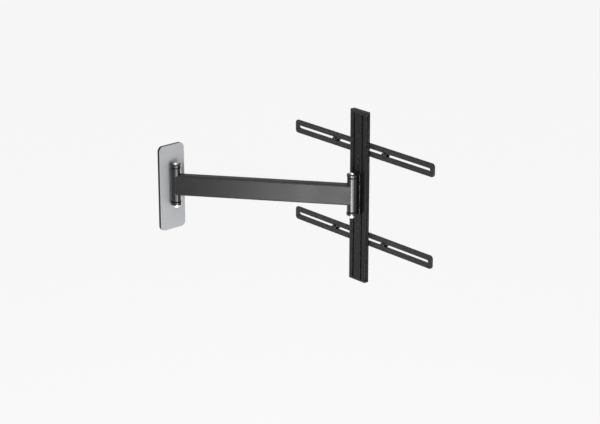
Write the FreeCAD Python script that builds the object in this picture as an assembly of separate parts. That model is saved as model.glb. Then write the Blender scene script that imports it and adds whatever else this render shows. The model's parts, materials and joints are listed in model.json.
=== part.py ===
"""Swivelling wall mount for a flat screen: wall plate, one arm on two hinges, rail and two slotted strips.

Millimetres. The origin is the centre of the wall plate's back face, +Z is up, +Y goes into the wall
and +X is to the right for someone who faces the wall. The arm is swung to the right and the screen
side stands square to the wall.
"""
import FreeCAD, Part
import math
import os

# Pose at rest
ARM_ANGLE = 38.4             # arm's swing from straight out of the wall, degrees
HEAD_ANGLE = 90.0            # screen side's turn from facing straight out of the wall, degrees

# Wall plate: black base and satin cover sheet
PLATE_WIDTH = 66.0
PLATE_HEIGHT = 190.0
PLATE_CORNER_R = 11.0
BASE_THICKNESS = 6.5
COVER_THICKNESS = 1.0
COVER_BEVEL = 0.4
WALL_HOLE_R = 3.5
WALL_HOLE_SPAN_X = 42.0
WALL_HOLE_SPAN_Z = 156.0
WALL_SINK_DEPTH = 3.0        # countersink for the wall screw's head

# Hinge set, the same at both ends of the arm
HINGE_HEIGHT = 9.0           # hinge's middle above the plate's centre
KNUCKLE_D = 22.0
KNUCKLE_LENGTH = 74.2
KNUCKLE_BEVEL = 0.6
PIN_D = 10.0
BUSH_WALL = 2.0
BUSH_SLEEVE_LENGTH = 14.0
BUSH_FLANGE_THICKNESS = 2.0
BUSH_FLANGE_STEP = 1.8       # flange's edge inside the knuckle's surface
EAR_THICKNESS = 6.2
EAR_RIM = 0.9                # ear's edge outside the knuckle's surface
EAR_BEVEL = 0.8
EAR_NECK_WIDTH = 10.0
CAP_D = 12.6
UPPER_CAP_RIM = 1.0
UPPER_CAP_DOME = 3.0
LOWER_CAP_RIM = 5.0          # the lower caps stand out further
LOWER_CAP_DOME = 4.0
CAP_STEM_D = 5.0
CAP_STEM_LENGTH = 6.0
WALL_GAP = 1.0               # knuckle to the cover's face
HEAD_GAP = 4.4               # knuckle to the rail's front

# Hinge brackets
WALL_WEB_THICKNESS = 3.0
WALL_WEB_WIDTH = 26.0
HEAD_WEB_THICKNESS = 4.0
HEAD_WEB_WIDTH = 21.0
WEB_CORNER_R = 3.0
WEB_SCREW_SPAN_X = 13.0
WEB_SCREW_SPAN_Z = 50.0
WEB_SCREW_R = 2.5

# Arm
ARM_LENGTH = 383.0           # hinge axis to hinge axis
BEAM_HEIGHT = 45.0
BEAM_STEP = 0.1              # beam's side inside the knuckle's surface
BEAM_WALL = 2.0
BEAM_CORNER_R = 4.0

# Rail
RAIL_LENGTH = 380.0          # over both end caps
RAIL_WIDTH = 49.5
RAIL_DEPTH = 12.0
RAIL_SLOPE_WIDTH = 4.6       # front's sloping border along each side
RAIL_SLOPE_DROP = 0.6
RAIL_BACK_CHAMFER = 0.8
RAIL_HEIGHT = 0.0            # rail's middle above the plate's centre
GROOVE_OFFSET = 12.3         # groove's middle from the rail's middle
GROOVE_WIDTH = 4.4
GROOVE_DEPTH = 5.0
SIDE_GROOVE_FROM_FRONT = 2.0
SIDE_GROOVE_WIDTH = 5.0
SIDE_GROOVE_DEPTH = 2.6
TSLOT_FRONT_WALL = 4.0
TSLOT_CAVITY_WIDTH = 18.0
TSLOT_CAVITY_DEPTH = 5.0
TSLOT_MOUTH_WIDTH = 12.0
TOP_CAP_THICKNESS = 6.0
BOTTOM_CAP_THICKNESS = 4.5
CAP_PLUG_LENGTH = 4.0
CAP_BEVEL = 0.8

# Strips
STRIP_LENGTH = 425.0
STRIP_HEIGHT = 29.0
STRIP_THICKNESS = 4.5
STRIP_CORNER_R = 7.0
STRIP_BEVEL = 0.5
STRIP_SPACING = 200.0
STRIP_MIDDLE = 7.0           # height midway between the strips above the plate's centre
SLOT_WIDTH = 6.4
SLOT_INNER_END = 18.0        # slot's inner end from the strip's middle
SLOT_END_WALL = 10.5         # metal left between the slot and the strip's end
SLIDER_LENGTH = 62.0
STRIP_SCREW_SPAN = 18.0
STRIP_SCREW_R = 2.5
LOCK_SCREW_R = 3.0
LOCK_SCREW_NEAR = 15.5       # lock screws above and below each strip's middle
LOCK_SCREW_FAR = 29.5
LOCK_SOCKET_WIDTH = 3.0
LOCK_SOCKET_DEPTH = 2.0

# Screws for the screen
TV_SCREW_OFFSET = 76.0       # from the middle of the pair on a strip
TV_SCREW_SHIFT = -8.5        # middle of the pair from the strip's middle, less is towards the wall at rest
TV_SCREW_R = 3.0
TV_SCREW_LENGTH = 20.0
TV_HEAD_D = 10.0
TV_HEAD_HEIGHT = 4.5
TV_HEAD_BEVEL = 0.6
TV_SOCKET_WIDTH = 5.0
TV_SOCKET_DEPTH = 2.5
TV_SPACER_D = 14.0
TV_SPACER_LENGTH = 6.0

# Clearances
RUNNING_CLEARANCE = 0.05     # pin in bush, each side
SEAT_CLEARANCE = 0.02        # fixed pin, bush or screw in its hole, each side
AXIAL_CLEARANCE = 0.2        # bush flange to ear
SLIDING_CLEARANCE = 0.3      # slider in the rail, strip to the rail's back
POCKET_CLEARANCE = 0.3       # bracket in the base's pocket, ear neck in the cover's window
HEAD_RECESS = 0.2            # countersunk heads below their surface
OVERCUT = 1.0                # cutters run past the faces they open

# Places worked out from the sizes above
KNUCKLE_R = KNUCKLE_D / 2
EAR_R = KNUCKLE_R + EAR_RIM
PIN_R = PIN_D / 2
BUSH_R = PIN_R + RUNNING_CLEARANCE + BUSH_WALL
EAR_INNER = KNUCKLE_LENGTH / 2 + BUSH_FLANGE_THICKNESS + AXIAL_CLEARANCE
EAR_OUTER = EAR_INNER + EAR_THICKNESS
COVER_FROM_AXIS = KNUCKLE_R + WALL_GAP
BASE_FROM_AXIS = COVER_FROM_AXIS + COVER_THICKNESS
WALL_FROM_AXIS = BASE_FROM_AXIS + BASE_THICKNESS
RAIL_FROM_AXIS = KNUCKLE_R + HEAD_GAP
STRIP_FROM_AXIS = RAIL_FROM_AXIS + RAIL_DEPTH + SLIDING_CLEARANCE
BEAM_THICKNESS = 2 * (KNUCKLE_R - BEAM_STEP)
SLOT_OUTER_END = STRIP_LENGTH / 2 - SLOT_END_WALL
STRIP_HEIGHTS = {
    "upper": STRIP_MIDDLE + STRIP_SPACING / 2,
    "lower": STRIP_MIDDLE - STRIP_SPACING / 2,
}
ORIGIN = FreeCAD.Vector(0, 0, 0)
UP = FreeCAD.Vector(0, 0, 1)
INWARD = FreeCAD.Vector(0, 1, 0)
WALL_AXIS = FreeCAD.Vector(0, -WALL_FROM_AXIS, HINGE_HEIGHT)
ARM_DIRECTION = FreeCAD.Vector(
    math.sin(math.radians(ARM_ANGLE)), -math.cos(math.radians(ARM_ANGLE)), 0)
HEAD_AXIS = WALL_AXIS + ARM_DIRECTION * ARM_LENGTH


def box(x, y, z):
    """Block between the two values of each axis."""
    return Part.makeBox(x[1] - x[0], y[1] - y[0], z[1] - z[0], FreeCAD.Vector(x[0], y[0], z[0]))


def post(radius, z, x=0.0, y=0.0):
    """Upright round bar between two heights."""
    return Part.makeCylinder(radius, z[1] - z[0], FreeCAD.Vector(x, y, z[0]), UP)


def rod(radius, y, x=0.0, z=0.0):
    """Round bar along Y between two values."""
    return Part.makeCylinder(radius, y[1] - y[0], FreeCAD.Vector(x, y[0], z), INWARD)


def cone(radius_from, radius_to, y, x=0.0, z=0.0):
    """Cone along Y, with its two radii at the two values of y."""
    return Part.makeCone(radius_from, radius_to, y[1] - y[0], FreeCAD.Vector(x, y[0], z), INWARD)


def hexagon(width, y, x=0.0, z=0.0):
    """Six-sided bar along Y, measured across its flats."""
    radius = width / math.sqrt(3)
    turns = [math.radians(60 * k) for k in range(7)]
    points = [FreeCAD.Vector(x + radius * math.cos(t), y[0], z + radius * math.sin(t)) for t in turns]
    return Part.Face(Part.makePolygon(points)).extrude(INWARD * (y[1] - y[0]))


def edges_along(shape, direction):
    """Straight edges that run along a direction."""
    chosen = []
    for edge in shape.Edges:
        if isinstance(edge.Curve, Part.Line) and abs(edge.tangentAt(edge.FirstParameter).dot(direction)) > 0.999:
            chosen.append(edge)
    return chosen


def rims_at(shape, axis, value):
    """Edges that lie wholly in the plane where one coordinate has a value."""
    tolerance = 1e-4
    low, high = axis + "Min", axis + "Max"
    chosen = []
    for edge in shape.Edges:
        bounds = edge.BoundBox
        if abs(getattr(bounds, low) - value) < tolerance and abs(getattr(bounds, high) - value) < tolerance:
            chosen.append(edge)
    return chosen


def plate(width, height, corner, y):
    """Upright plate centred on the Y axis, with rounded corners."""
    block = box((-width / 2, width / 2), y, (-height / 2, height / 2))
    return block.makeFillet(corner, edges_along(block, INWARD))


def obround(x, width, y, z=0.0):
    """Bar with round ends, from one end to the other along X, through y."""
    radius = width / 2
    middle = box((x[0] + radius, x[1] - radius), y, (z - radius, z + radius))
    return middle.fuse([rod(radius, y, x[0] + radius, z), rod(radius, y, x[1] - radius, z)]).removeSplitter()


def grid(span_x, span_z):
    """Four places at the corners of a rectangle."""
    return [(x, z) for x in (-span_x / 2, span_x / 2) for z in (-span_z / 2, span_z / 2)]


def placed(shape, turn, place):
    """Copy of a shape, turned about the Z axis and moved."""
    moved = shape.copy()
    moved.rotate(ORIGIN, UP, turn)
    moved.translate(place)
    return moved


def upside_down(shape):
    """Copy of a shape, turned over about the X axis."""
    turned = shape.copy()
    turned.rotate(ORIGIN, FreeCAD.Vector(1, 0, 0), 180)
    return turned


def at_wall(shape):
    """From hinge coordinates, with the carrier towards +Y, to the wall hinge."""
    return placed(shape, 0, WALL_AXIS)


def at_head(shape):
    """From hinge coordinates, with the carrier towards +Y, to the head hinge."""
    return placed(shape, HEAD_ANGLE - 180, HEAD_AXIS)


def on_arm(shape, along=0.0):
    """From arm coordinates, with the arm along +X, to the arm's place."""
    return placed(shape, ARM_ANGLE - 90, WALL_AXIS + ARM_DIRECTION * along)


def countersunk_screw(radius, y, x, z, forwards):
    """Screw along Y with a flat sunk head at one end and a hexagonal socket in it."""
    sink = radius
    start = y[0] if forwards else y[1]
    sign = 1 if forwards else -1
    head_end = start + sign * sink
    shank = rod(radius, tuple(sorted((head_end, y[1] if forwards else y[0]))), x, z)
    if forwards:
        head = cone(2 * radius, radius, (start, head_end), x, z)
    else:
        head = cone(radius, 2 * radius, (head_end, start), x, z)
    socket = hexagon(1.2 * radius, tuple(sorted((start - sign * OVERCUT, start + sign * 0.8 * radius))), x, z)
    return shank.fuse(head).cut(socket).removeSplitter()


def countersunk_hole(radius, y, x, z, forwards):
    """Cutter for that screw, with the seat clearance all round and open past both faces."""
    start = y[0] if forwards else y[1]
    sign = 1 if forwards else -1
    wide = 2 * radius + SEAT_CLEARANCE
    narrow = radius + SEAT_CLEARANCE
    sink_start = start + sign * HEAD_RECESS
    sink_end = sink_start + sign * radius
    mouth = rod(wide, tuple(sorted((start - sign * OVERCUT, sink_start))), x, z)
    through = rod(narrow, (y[0] - OVERCUT, y[1] + OVERCUT), x, z)
    if forwards:
        sink = cone(wide, narrow, (sink_start, sink_end), x, z)
    else:
        sink = cone(narrow, wide, (sink_end, sink_start), x, z)
    return through.fuse([mouth, sink])


# Wall plate


def wall_base_plate():
    """Base with four countersunk wall holes, and a pocket in its front for the hinge bracket."""
    front = -BASE_THICKNESS
    body = plate(PLATE_WIDTH, PLATE_HEIGHT, PLATE_CORNER_R, (front, 0))
    pocket = plate(
        WALL_WEB_WIDTH + 2 * POCKET_CLEARANCE,
        2 * (EAR_OUTER + POCKET_CLEARANCE),
        WEB_CORNER_R + POCKET_CLEARANCE,
        (front - OVERCUT, front + WALL_WEB_THICKNESS))
    pocket.translate(UP * HINGE_HEIGHT)
    cutters = [pocket]
    for x, z in grid(WALL_HOLE_SPAN_X, WALL_HOLE_SPAN_Z):
        cutters.append(rod(WALL_HOLE_R, (front - OVERCUT, OVERCUT), x, z))
        cutters.append(cone(WALL_HOLE_R + WALL_SINK_DEPTH, WALL_HOLE_R, (front, front + WALL_SINK_DEPTH), x, z))
    for x, z in grid(WEB_SCREW_SPAN_X, WEB_SCREW_SPAN_Z):
        cutters.append(countersunk_hole(WEB_SCREW_R, (front, 0), x, z + HINGE_HEIGHT, False))
    return body.cut(cutters)


def wall_cover():
    """Thin cover sheet with a bevelled front edge and a window for each ear's neck."""
    back = -BASE_THICKNESS
    front = back - COVER_THICKNESS
    sheet = plate(PLATE_WIDTH, PLATE_HEIGHT, PLATE_CORNER_R, (front, back))
    sheet = sheet.makeChamfer(COVER_BEVEL, rims_at(sheet, "Y", front))
    half_width = EAR_NECK_WIDTH / 2 + POCKET_CLEARANCE
    windows = []
    for side in (-1, 1):
        heights = sorted((side * (EAR_INNER - POCKET_CLEARANCE), side * (EAR_OUTER + POCKET_CLEARANCE)))
        low, high = (HINGE_HEIGHT + height for height in heights)
        windows.append(box((-half_width, half_width), (front - OVERCUT, back + OVERCUT), (low, high)))
    return sheet.cut(windows)


def ear(reach):
    """Upper ear: a round collar with a neck that runs back to the web."""
    heights = (EAR_INNER, EAR_OUTER)
    collar = post(EAR_R, heights)
    collar = collar.makeChamfer(EAR_BEVEL, rims_at(collar, "Z", EAR_OUTER))
    neck = box((-EAR_NECK_WIDTH / 2, EAR_NECK_WIDTH / 2), (0, reach), heights)
    hole = post(PIN_R + SEAT_CLEARANCE, (EAR_INNER - OVERCUT, EAR_OUTER + OVERCUT))
    return collar.fuse(neck).cut(hole)


def hinge_bracket(web_width, web_thickness, web_front):
    """Web with two ears, with the hinge axis at the origin and the web towards +Y."""
    web = plate(web_width, 2 * EAR_OUTER, WEB_CORNER_R, (web_front, web_front + web_thickness))
    upper = ear(web_front)
    return web.fuse([upper, upside_down(placed(upper, 180, ORIGIN))]).removeSplitter()


def wall_hinge_bracket():
    """Bracket whose web lies in the base's pocket, behind the cover."""
    bracket = hinge_bracket(WALL_WEB_WIDTH, WALL_WEB_THICKNESS, BASE_FROM_AXIS)
    bore = WEB_SCREW_R + SEAT_CLEARANCE
    depth = (BASE_FROM_AXIS - OVERCUT, BASE_FROM_AXIS + WALL_WEB_THICKNESS + OVERCUT)
    return at_wall(bracket.cut([rod(bore, depth, x, z) for x, z in grid(WEB_SCREW_SPAN_X, WEB_SCREW_SPAN_Z)]))


def wall_bracket_screws():
    """Four screws, put in from the wall side and ending flush with the web's front."""
    depth = (BASE_FROM_AXIS, WALL_FROM_AXIS - HEAD_RECESS)
    places = grid(WEB_SCREW_SPAN_X, WEB_SCREW_SPAN_Z)
    return at_wall(Part.makeCompound([countersunk_screw(WEB_SCREW_R, depth, x, z, False) for x, z in places]))


# Hinge pieces, in hinge coordinates


def hinge_pin():
    """Pin from ear to ear, drilled at both ends for the caps' stems."""
    body = post(PIN_R, (-EAR_OUTER, EAR_OUTER))
    depth = CAP_STEM_LENGTH + SEAT_CLEARANCE
    radius = CAP_STEM_D / 2 + SEAT_CLEARANCE
    top = post(radius, (EAR_OUTER - depth, EAR_OUTER + OVERCUT))
    return body.cut([top, upside_down(top)])


def hinge_cap(rim_height, dome_height):
    """Domed cap on the upper ear, with a stem in the pin."""
    base = EAR_OUTER
    shoulder = base + rim_height
    radius = CAP_D / 2
    sphere_radius = (radius ** 2 + dome_height ** 2) / (2 * dome_height)
    centre = FreeCAD.Vector(0, 0, shoulder + dome_height - sphere_radius)
    dome = Part.makeSphere(sphere_radius, centre).common(post(radius, (shoulder, shoulder + dome_height)))
    rim = post(radius, (base, shoulder))
    stem = post(CAP_STEM_D / 2, (base - CAP_STEM_LENGTH, base))
    return rim.fuse([dome, stem]).removeSplitter()


def hinge_bush():
    """Upper flanged bush: its sleeve is in the knuckle and its flange bears on the ear."""
    end = KNUCKLE_LENGTH / 2
    flange = post(KNUCKLE_R - BUSH_FLANGE_STEP, (end, end + BUSH_FLANGE_THICKNESS))
    sleeve = post(BUSH_R, (end - BUSH_SLEEVE_LENGTH, end))
    hole = post(PIN_R + RUNNING_CLEARANCE, (end - BUSH_SLEEVE_LENGTH - OVERCUT, end + BUSH_FLANGE_THICKNESS + OVERCUT))
    return sleeve.fuse(flange).cut(hole).removeSplitter()


def hinge_knuckle():
    """Round tube that turns about the pin on its two bushes."""
    half = KNUCKLE_LENGTH / 2
    tube = post(KNUCKLE_R, (-half, half))
    tube = tube.makeChamfer(KNUCKLE_BEVEL, rims_at(tube, "Z", half) + rims_at(tube, "Z", -half))
    return tube.cut(post(BUSH_R + SEAT_CLEARANCE, (-half - OVERCUT, half + OVERCUT)))


# Arm


def arm_beam():
    """Rectangular tube whose ends are coped to the knuckles."""
    def bar(thickness, height, corner):
        block = box((0, ARM_LENGTH), (-thickness / 2, thickness / 2), (-height / 2, height / 2))
        return block.makeFillet(corner, edges_along(block, FreeCAD.Vector(1, 0, 0)))

    shell = bar(BEAM_THICKNESS, BEAM_HEIGHT, BEAM_CORNER_R)
    inside = bar(BEAM_THICKNESS - 2 * BEAM_WALL, BEAM_HEIGHT - 2 * BEAM_WALL, BEAM_CORNER_R - BEAM_WALL / 2)
    heights = (-KNUCKLE_LENGTH / 2, KNUCKLE_LENGTH / 2)
    copes = [post(KNUCKLE_R + SEAT_CLEARANCE, heights, x) for x in (0, ARM_LENGTH)]
    return on_arm(shell.cut([inside] + copes))


# Head


def head_hinge_bracket():
    """Bracket whose web is screwed to the rail's front."""
    front = RAIL_FROM_AXIS - HEAD_WEB_THICKNESS
    bracket = hinge_bracket(HEAD_WEB_WIDTH, HEAD_WEB_THICKNESS, front)
    depth = (front, RAIL_FROM_AXIS)
    places = grid(WEB_SCREW_SPAN_X, WEB_SCREW_SPAN_Z)
    return at_head(bracket.cut([countersunk_hole(WEB_SCREW_R, depth, x, z, True) for x, z in places]))


def head_bracket_screws():
    """Four screws through the web into the rail's front wall."""
    depth = (RAIL_FROM_AXIS - HEAD_WEB_THICKNESS + HEAD_RECESS, RAIL_FROM_AXIS + TSLOT_FRONT_WALL)
    places = grid(WEB_SCREW_SPAN_X, WEB_SCREW_SPAN_Z)
    return at_head(Part.makeCompound([countersunk_screw(WEB_SCREW_R, depth, x, z, True) for x, z in places]))


def rail_middle():
    """Height of the rail's middle in hinge coordinates."""
    return RAIL_HEIGHT - HINGE_HEIGHT


def rail_ends():
    """Heights of the extrusion's two ends in hinge coordinates."""
    half = RAIL_LENGTH / 2
    return rail_middle() - half + BOTTOM_CAP_THICKNESS, rail_middle() + half - TOP_CAP_THICKNESS


def rail_block(z):
    """Rail's outer form, with sloping front borders and chamfered back edges, between two heights."""
    front = RAIL_FROM_AXIS
    back = front + RAIL_DEPTH
    half = RAIL_WIDTH / 2
    right = [
        (half - RAIL_SLOPE_WIDTH, front),
        (half, front + RAIL_SLOPE_DROP),
        (half, back - RAIL_BACK_CHAMFER),
        (half - RAIL_BACK_CHAMFER, back),
    ]
    left = [(-x, y) for x, y in reversed(right)]
    points = [FreeCAD.Vector(x, y, z[0]) for x, y in right + left + right[:1]]
    return Part.Face(Part.makePolygon(points)).extrude(UP * (z[1] - z[0]))


def lock_screw_places():
    """Heights of the lock screws in hinge coordinates."""
    offsets = (-LOCK_SCREW_FAR, -LOCK_SCREW_NEAR, LOCK_SCREW_NEAR, LOCK_SCREW_FAR)
    return [height - HINGE_HEIGHT + offset for height in STRIP_HEIGHTS.values() for offset in offsets]


def head_rail():
    """Extrusion with two grooves in its front, one in each side, a T-slot in its back and tapped holes."""
    low, high = rail_ends()
    beyond = (low - OVERCUT, high + OVERCUT)
    front = RAIL_FROM_AXIS
    cavity = front + TSLOT_FRONT_WALL
    lips = cavity + TSLOT_CAVITY_DEPTH
    half_cavity = TSLOT_CAVITY_WIDTH / 2
    half_mouth = TSLOT_MOUTH_WIDTH / 2
    cutters = [
        box((-half_cavity, half_cavity), (cavity, lips), beyond),
        box((-half_mouth, half_mouth), (lips, front + RAIL_DEPTH + OVERCUT), beyond),
    ]
    for side in (-1, 1):
        edges = sorted((side * (GROOVE_OFFSET - GROOVE_WIDTH / 2), side * (GROOVE_OFFSET + GROOVE_WIDTH / 2)))
        cutters.append(box(edges, (front - OVERCUT, front + GROOVE_DEPTH), beyond))
        edges = sorted((side * (RAIL_WIDTH / 2 - SIDE_GROOVE_DEPTH), side * (RAIL_WIDTH / 2 + OVERCUT)))
        near = front + SIDE_GROOVE_FROM_FRONT
        cutters.append(box(edges, (near, near + SIDE_GROOVE_WIDTH), beyond))
    through = (front - OVERCUT, cavity + OVERCUT)
    for z in lock_screw_places():
        cutters.append(rod(LOCK_SCREW_R + SEAT_CLEARANCE, through, 0, z))
    for x, z in grid(WEB_SCREW_SPAN_X, WEB_SCREW_SPAN_Z):
        cutters.append(rod(WEB_SCREW_R + SEAT_CLEARANCE, through, x, z))
    return at_head(rail_block((low, high)).cut(cutters))


def rail_end_cap(top):
    """End cap with the rail's outline, a bevelled outer rim and a plug in the T-slot."""
    low, high = rail_ends()
    half_width = TSLOT_CAVITY_WIDTH / 2 - SEAT_CLEARANCE
    cavity = RAIL_FROM_AXIS + TSLOT_FRONT_WALL
    depth = (cavity + SEAT_CLEARANCE, cavity + TSLOT_CAVITY_DEPTH - SEAT_CLEARANCE)
    if top:
        block = rail_block((high, high + TOP_CAP_THICKNESS))
        rim = rims_at(block, "Z", high + TOP_CAP_THICKNESS)
        plug = box((-half_width, half_width), depth, (high - CAP_PLUG_LENGTH, high))
    else:
        block = rail_block((low - BOTTOM_CAP_THICKNESS, low))
        rim = rims_at(block, "Z", low - BOTTOM_CAP_THICKNESS)
        plug = box((-half_width, half_width), depth, (low, low + CAP_PLUG_LENGTH))
    return at_head(block.makeChamfer(CAP_BEVEL, rim).fuse(plug))


def rail_lock_screws():
    """Socket set screws in the rail's middle band, ending level with the T-slot's front wall."""
    depth = (RAIL_FROM_AXIS + HEAD_RECESS, RAIL_FROM_AXIS + TSLOT_FRONT_WALL)
    screws = []
    for z in lock_screw_places():
        socket = hexagon(LOCK_SOCKET_WIDTH, (depth[0] - OVERCUT, depth[0] + LOCK_SOCKET_DEPTH), 0, z)
        screws.append(rod(LOCK_SCREW_R, depth, 0, z).cut(socket))
    return at_head(Part.makeCompound(screws))


# Strips, in hinge coordinates at a height


def strip_screw_places(height):
    """Heights of the two screws that hold a strip to its slider."""
    return height - STRIP_SCREW_SPAN / 2, height + STRIP_SCREW_SPAN / 2


def strip(height):
    """Flat strip with rounded corners, bevelled edges and a long slot in each half."""
    front = STRIP_FROM_AXIS
    depth = (front, front + STRIP_THICKNESS)
    body = plate(STRIP_LENGTH, STRIP_HEIGHT, STRIP_CORNER_R, depth)
    body = body.makeChamfer(STRIP_BEVEL, rims_at(body, "Y", depth[0]) + rims_at(body, "Y", depth[1]))
    body.translate(UP * height)
    through = (depth[0] - OVERCUT, depth[1] + OVERCUT)
    cutters = []
    for side in (-1, 1):
        ends = sorted((side * SLOT_INNER_END, side * SLOT_OUTER_END))
        cutters.append(obround(ends, SLOT_WIDTH, through, height))
    for z in strip_screw_places(height):
        cutters.append(countersunk_hole(STRIP_SCREW_R, depth, 0, z, False))
    return body.cut(cutters)


def slider_front():
    """Front of a slider, which clears the T-slot's front wall."""
    return RAIL_FROM_AXIS + TSLOT_FRONT_WALL + SLIDING_CLEARANCE


def strip_slider(height):
    """T-shaped block in the rail's slot, whose neck meets the strip's front."""
    front = slider_front()
    step = front + TSLOT_CAVITY_DEPTH - 2 * SLIDING_CLEARANCE
    half_body = TSLOT_CAVITY_WIDTH / 2 - SLIDING_CLEARANCE
    half_neck = TSLOT_MOUTH_WIDTH / 2 - SLIDING_CLEARANCE
    heights = (height - SLIDER_LENGTH / 2, height + SLIDER_LENGTH / 2)
    body = box((-half_body, half_body), (front, step), heights)
    neck = box((-half_neck, half_neck), (step, STRIP_FROM_AXIS), heights)
    through = (front - OVERCUT, STRIP_FROM_AXIS + OVERCUT)
    holes = [rod(STRIP_SCREW_R + SEAT_CLEARANCE, through, 0, z) for z in strip_screw_places(height)]
    return body.fuse(neck).removeSplitter().cut(holes)


def strip_screws(height):
    """Two countersunk screws from the strip's back into its slider."""
    depth = (slider_front(), STRIP_FROM_AXIS + STRIP_THICKNESS - HEAD_RECESS)
    places = strip_screw_places(height)
    return Part.makeCompound([countersunk_screw(STRIP_SCREW_R, depth, 0, z, False) for z in places])


def tv_screws(height):
    """Two socket cap screws, one in each slot of a strip."""
    front = STRIP_FROM_AXIS
    screws = []
    for x in (TV_SCREW_SHIFT - TV_SCREW_OFFSET, TV_SCREW_SHIFT + TV_SCREW_OFFSET):
        head = rod(TV_HEAD_D / 2, (front - TV_HEAD_HEIGHT, front), x, height)
        head = head.makeChamfer(TV_HEAD_BEVEL, rims_at(head, "Y", front - TV_HEAD_HEIGHT))
        socket_depth = (front - TV_HEAD_HEIGHT - OVERCUT, front - TV_HEAD_HEIGHT + TV_SOCKET_DEPTH)
        shank = rod(TV_SCREW_R, (front, front + TV_SCREW_LENGTH), x, height)
        screws.append(head.fuse(shank).cut(hexagon(TV_SOCKET_WIDTH, socket_depth, x, height)))
    return Part.makeCompound(screws)


def tv_spacers(height):
    """Sleeves on the screws, against the strip's back."""
    back = STRIP_FROM_AXIS + STRIP_THICKNESS
    depth = (back, back + TV_SPACER_LENGTH)
    through = (back - OVERCUT, back + TV_SPACER_LENGTH + OVERCUT)
    sleeves = []
    for x in (TV_SCREW_SHIFT - TV_SCREW_OFFSET, TV_SCREW_SHIFT + TV_SCREW_OFFSET):
        sleeve = rod(TV_SPACER_D / 2, depth, x, height)
        sleeves.append(sleeve.cut(rod(SLOT_WIDTH / 2, through, x, height)))
    return Part.makeCompound(sleeves)


def nodes():
    """Every piece of the mount by name, in its place."""
    pieces = {
        "wall_base_plate": wall_base_plate(),
        "wall_cover": wall_cover(),
        "wall_hinge_bracket": wall_hinge_bracket(),
        "wall_bracket_screws": wall_bracket_screws(),
        "arm_beam": arm_beam(),
        "arm_wall_knuckle": at_wall(hinge_knuckle()),
        "arm_head_knuckle": at_head(hinge_knuckle()),
        "head_hinge_bracket": head_hinge_bracket(),
        "head_bracket_screws": head_bracket_screws(),
        "head_rail": head_rail(),
        "rail_end_cap_top": rail_end_cap(True),
        "rail_end_cap_bottom": rail_end_cap(False),
        "rail_lock_screws": rail_lock_screws(),
    }
    for end, place in (("wall", at_wall), ("head", at_head)):
        pieces[end + "_hinge_pin"] = place(hinge_pin())
        pieces[end + "_cap_upper"] = place(hinge_cap(UPPER_CAP_RIM, UPPER_CAP_DOME))
        pieces[end + "_cap_lower"] = place(upside_down(hinge_cap(LOWER_CAP_RIM, LOWER_CAP_DOME)))
        pieces[end + "_bush_upper"] = place(hinge_bush())
        pieces[end + "_bush_lower"] = place(upside_down(hinge_bush()))
    for level, row_height in STRIP_HEIGHTS.items():
        height = row_height - HINGE_HEIGHT
        pieces[level + "_strip"] = at_head(strip(height))
        pieces[level + "_strip_slider"] = at_head(strip_slider(height))
        pieces[level + "_strip_screws"] = at_head(strip_screws(height))
        pieces[level + "_tv_screws"] = at_head(tv_screws(height))
        pieces[level + "_tv_spacers"] = at_head(tv_spacers(height))
    return pieces


def main():
    os.makedirs("parts", exist_ok=True)
    for name, shape in nodes().items():
        shape.exportStep("parts/" + name + ".step")
        print(name, len(shape.Solids), "solids, valid", shape.isValid(), "volume", round(shape.Volume, 1))


if __name__ == "__main__":
    main()
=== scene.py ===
"""Swivelling wall mount for a flat screen, modelled and finished around its frame.

Metres. The frame gives every place: +Z is up, +Y goes into the wall, and the origin is the middle of
the wall plate's back. Hinge coordinates have a hinge's middle at the origin, Z along its pin and +Y
towards what carries the hinge. Arm coordinates have the wall hinge's middle at the origin and +X along
the arm.
"""
import json
import math

import bmesh
import bpy
from mathutils import Matrix, Vector


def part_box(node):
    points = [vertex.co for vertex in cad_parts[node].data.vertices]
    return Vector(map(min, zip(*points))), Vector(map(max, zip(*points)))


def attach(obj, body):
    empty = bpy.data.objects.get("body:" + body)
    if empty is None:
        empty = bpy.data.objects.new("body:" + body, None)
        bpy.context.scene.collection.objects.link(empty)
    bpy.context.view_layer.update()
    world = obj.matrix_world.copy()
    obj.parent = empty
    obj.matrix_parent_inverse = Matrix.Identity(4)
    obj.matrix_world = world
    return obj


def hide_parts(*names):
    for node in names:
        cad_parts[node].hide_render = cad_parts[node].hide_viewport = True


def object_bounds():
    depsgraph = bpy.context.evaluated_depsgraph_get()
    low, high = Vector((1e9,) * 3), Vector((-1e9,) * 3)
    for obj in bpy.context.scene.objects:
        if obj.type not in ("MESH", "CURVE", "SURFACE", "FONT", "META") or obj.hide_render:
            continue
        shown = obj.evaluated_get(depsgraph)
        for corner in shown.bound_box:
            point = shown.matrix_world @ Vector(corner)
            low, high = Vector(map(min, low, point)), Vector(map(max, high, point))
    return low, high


bl_info = {
    "name": "Wall mount for a flat screen",
    "version": (1, 0, 0),
    "blender": (4, 5, 0),
    "location": "3D View > Sidebar > Wall Mount",
    "description": "Models and finishes a swivelling wall mount around its frame",
    "category": "Object",
}

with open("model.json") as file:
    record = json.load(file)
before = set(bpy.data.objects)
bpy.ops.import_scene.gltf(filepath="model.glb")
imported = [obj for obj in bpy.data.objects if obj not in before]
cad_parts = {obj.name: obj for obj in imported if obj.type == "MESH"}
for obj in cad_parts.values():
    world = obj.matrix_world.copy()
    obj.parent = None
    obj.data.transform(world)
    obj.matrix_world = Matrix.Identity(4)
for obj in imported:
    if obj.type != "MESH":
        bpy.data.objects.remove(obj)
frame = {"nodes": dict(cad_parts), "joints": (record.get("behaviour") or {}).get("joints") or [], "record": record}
CAD_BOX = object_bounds()

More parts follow.
